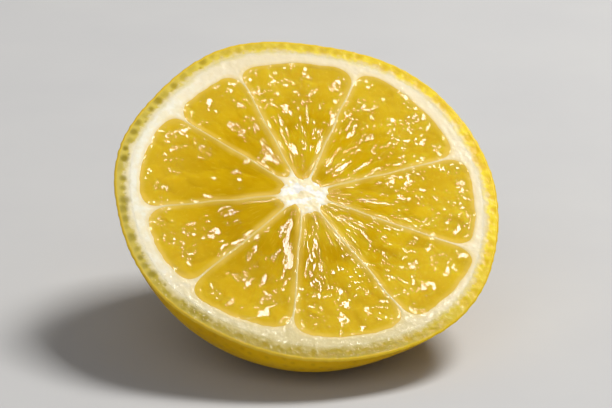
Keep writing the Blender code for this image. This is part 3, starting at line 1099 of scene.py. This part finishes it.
def make_pith_finish():
    """Lemon pith: a soft cream sponge, straw yellow in its thin walls, glittering where it is damp."""
    material, tree, place, stored = new_finish("lemon pith", (*PEEL_NUMBERS, "from_core", "from_pulp"))
    grainy = {"Vector": place, "Scale": 1 / (GRAIN_SIZE * MM), "Detail": 4.0, "Roughness": 0.6}
    fibres = add(tree, "TexNoise", {}, grainy)
    patches = add(tree, "TexNoise", {}, {"Vector": place, "Scale": 1 / (PATCH_SIZE * MM), "Detail": 2.0})
    from_core = stored["from_core"]

    stain = add(tree, "MapRange", SMOOTH, (stored["from_pulp"], 0.0, 0.7, 0.7, 0.0))
    before_peel = add(tree, "MapRange", SMOOTH, (from_core, 18.0, 23.0, 1.0, 0.0))
    past_core = add(tree, "MapRange", SMOOTH, (from_core, 3.2, 5.5, 0.0, 1.0))
    in_wall = add(tree, "Math", TIMES, (before_peel, past_core))
    in_core = add(tree, "MapRange", SMOOTH, (from_core, 2.5, 4.5, 1.0, 0.0))
    warmer = add(tree, "MapRange", SMOOTH, (patches, 0.46, 0.56, 0.0, 1.0))
    core_white = add(tree, "Mix", COLOURS, {SHARE: warmer, UNDER: "#FFFAEE", OVER: "#FAE8BC"}, MIXED)
    colour = peel_cut_colour(tree, place, stored)
    for share, coat in ((stain, "#ECD283"), (in_wall, "#E6C868"), (in_core, core_white)):
        colour = add(tree, "Mix", COLOURS, {SHARE: share, UNDER: colour, OVER: coat}, MIXED)

    glitter = add(tree, "MapRange", SMOOTH, (stored["damp"], 0.1, 0.8, 0.2, 1.0))
    sponge = {"Height": fibres, "Strength": 0.15, "Distance": 0.2 * MM}
    juice = {"Height": fibres, "Strength": glitter, "Distance": 0.5 * MM}
    body = {
        "Base Color": colour,
        "Subsurface Weight": 0.5,
        "Subsurface Radius": (1.0, 0.9, 0.6),
        "Subsurface Scale": 0.4 * MM,
        "Roughness": 0.45,
        "Coat Weight": add(tree, "MapRange", SMOOTH, (stored["damp"], 0.1, 0.8, 0.12, 0.85)),
        "Coat Roughness": 0.07,
        "Normal": add(tree, "Bump", {}, sponge),
        "Coat Normal": add(tree, "Bump", {}, juice),
    }
    add(tree, "OutputMaterial", {}, {"Surface": add(tree, "BsdfPrincipled", {}, body)})
    return material


pith_finish = make_pith_finish()
print(pith_finish.name, "has", len(pith_finish.node_tree.nodes), "nodes")

# %% [markdown]
# Lemon rind is yellow all through its outer millimetre and a half, and the fruit grows its own thin wax on
# it. Wax is soft and uneven, so the skin has a broad sheen and no mirror, and its gloss is kept low. Its
# glands hold clear oil. Cut open, they are painted olive on the side away from the lamp, as shade where no
# light comes through behind them, and a lit gold on the side towards it. The juice that ran down the cut
# makes the rim there wet, as on the pith.

# %% Rind finish
SKIN_BLOTCH_SIZE = 11
# Pores in the wax are far finer, but this is the smallest grain that still shows.
SKIN_GRAIN_SIZE = 0.65


def make_rind_finish():
    """Waxy lemon rind: mottled yellow skin, darker in its dimples, and its cut rim with glands painted olive
    in shade and gold in light.
    """
    numbers = (*PEEL_NUMBERS, "gland", "dimple", "cut_face")
    material, tree, place, stored = new_finish("waxy lemon rind", numbers)
    mottle = add(tree, "TexNoise", {}, {"Vector": place, "Scale": 1 / (SKIN_BLOTCH_SIZE * MM), "Detail": 3.0})
    grains = add(tree, "TexNoise", {}, {"Vector": place, "Scale": 1 / (SKIN_GRAIN_SIZE * MM), "Detail": 2.0})
    lamp_side, cut_face = stored["lamp_side"], stored["cut_face"]

    mottled = add(tree, "MapRange", SMOOTH, (mottle, 0.35, 0.7, 0.0, 1.0))
    skin = add(tree, "Mix", COLOURS, {SHARE: mottled, UNDER: "#E2B400", OVER: "#D2A400"}, MIXED)
    in_pit = add(tree, "MapRange", SMOOTH, (stored["dimple"], 0.2, 1.0, 0.0, 0.5))
    pitted = add(tree, "Mix", COLOURS, {SHARE: in_pit, UNDER: skin, OVER: "#B88800"}, MIXED)

    peel = peel_cut_colour(tree, place, stored)
    # Painted light and shade: cut glands are olive away from the lamp and gold towards it.
    oil = add(tree, "Mix", COLOURS, {SHARE: lamp_side, UNDER: "#8E7E14", OVER: "#E8BE00"}, MIXED)
    beads = add(tree, "Mix", COLOURS, {SHARE: stored["gland"], UNDER: peel, OVER: oil}, MIXED)
    # The skin's outer line is painted a little greyer in shade, away from the lamp.
    outer_line = add(tree, "Mix", COLOURS, {SHARE: lamp_side, UNDER: "#E2C03C", OVER: "#E2C000"}, MIXED)
    under_line = add(tree, "MapRange", SMOOTH, (stored["skin_depth"], 0.2, 0.5, 0.0, 1.0))
    rim = add(tree, "Mix", COLOURS, {SHARE: under_line, UNDER: outer_line, OVER: beads}, MIXED)

    wet_cut = add(tree, "Math", TIMES, (stored["damp"], cut_face))
    glitter = add(tree, "MapRange", SMOOTH, (stored["damp"], 0.1, 0.8, 0.3, 1.0))
    wax = {"Height": grains, "Strength": 0.3, "Distance": 0.1 * MM}
    juice = {"Height": grains, "Strength": glitter, "Distance": 0.4 * MM}
    body = {
        "Base Color": add(tree, "Mix", COLOURS, {SHARE: cut_face, UNDER: pitted, OVER: rim}, MIXED),
        "Subsurface Weight": 0.4,
        "Subsurface Radius": (1.0, 0.9, 0.6),
        "Subsurface Scale": 0.4 * MM,
        "Roughness": 0.45,
        "Specular IOR Level": 0.1,
        "Coat Weight": add(tree, "MapRange", SMOOTH, (wet_cut, 0.2, 0.8, 0.08, 0.4)),
        "Coat Roughness": 0.10,
        "Normal": add(tree, "Bump", {}, wax),
        "Coat Normal": add(tree, "Bump", {}, juice),
    }
    add(tree, "OutputMaterial", {}, {"Surface": add(tree, "BsdfPrincipled", {}, body)})
    return material


rind_finish = make_rind_finish()
print(rind_finish.name, "has", len(rind_finish.node_tree.nodes), "nodes")

# %% [markdown]
# ## Putting it together
#
# Each piece takes its finish, rides on the model's one body, and together they stand for the plain solid.
# They stay separate meshes, as rind, pith and pulp are separate on a plate too.

# %% Pieces
for piece in pulp:
    piece.data.materials.append(pulp_finish)
pith.data.materials.append(pith_finish)
rind.data.materials.append(rind_finish)
for piece in (*pulp, pith, rind):
    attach(piece, "root")
    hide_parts(NODE)
print("pieces:", [piece.name for piece in (*pulp, pith, rind)])

# %% [markdown]
# ## The table
#
# Under the lemon is a pale painted board. Matt paint has no gloss to speak of, so it is rough all over,
# and a slow mottle keeps it from looking like plain paper. It is part of the set and not of the lemon.

# %% Table
MOTTLE_SIZE = 25
paint, paint_tree, paint_place, _ = new_finish("pale painted board")
slow = {"Vector": paint_place, "Scale": 1 / (MOTTLE_SIZE * MM), "Detail": 4.0}
mottle = add(paint_tree, "TexNoise", {}, slow)
grey = add(paint_tree, "Mix", COLOURS, {SHARE: mottle, UNDER: "#BEBEC0", OVER: "#C6C6C6"}, MIXED)
matt = add(paint_tree, "BsdfPrincipled", {}, {"Base Color": grey, "Roughness": 0.7})
add(paint_tree, "OutputMaterial", {}, {"Surface": matt})

bpy.ops.mesh.primitive_plane_add(size=4, location=(0, 0, 0))
table = bpy.context.object
table.name = "table"
table.data.materials.append(paint)
print("table:", [round(side, 1) for side in table.dimensions], "m")
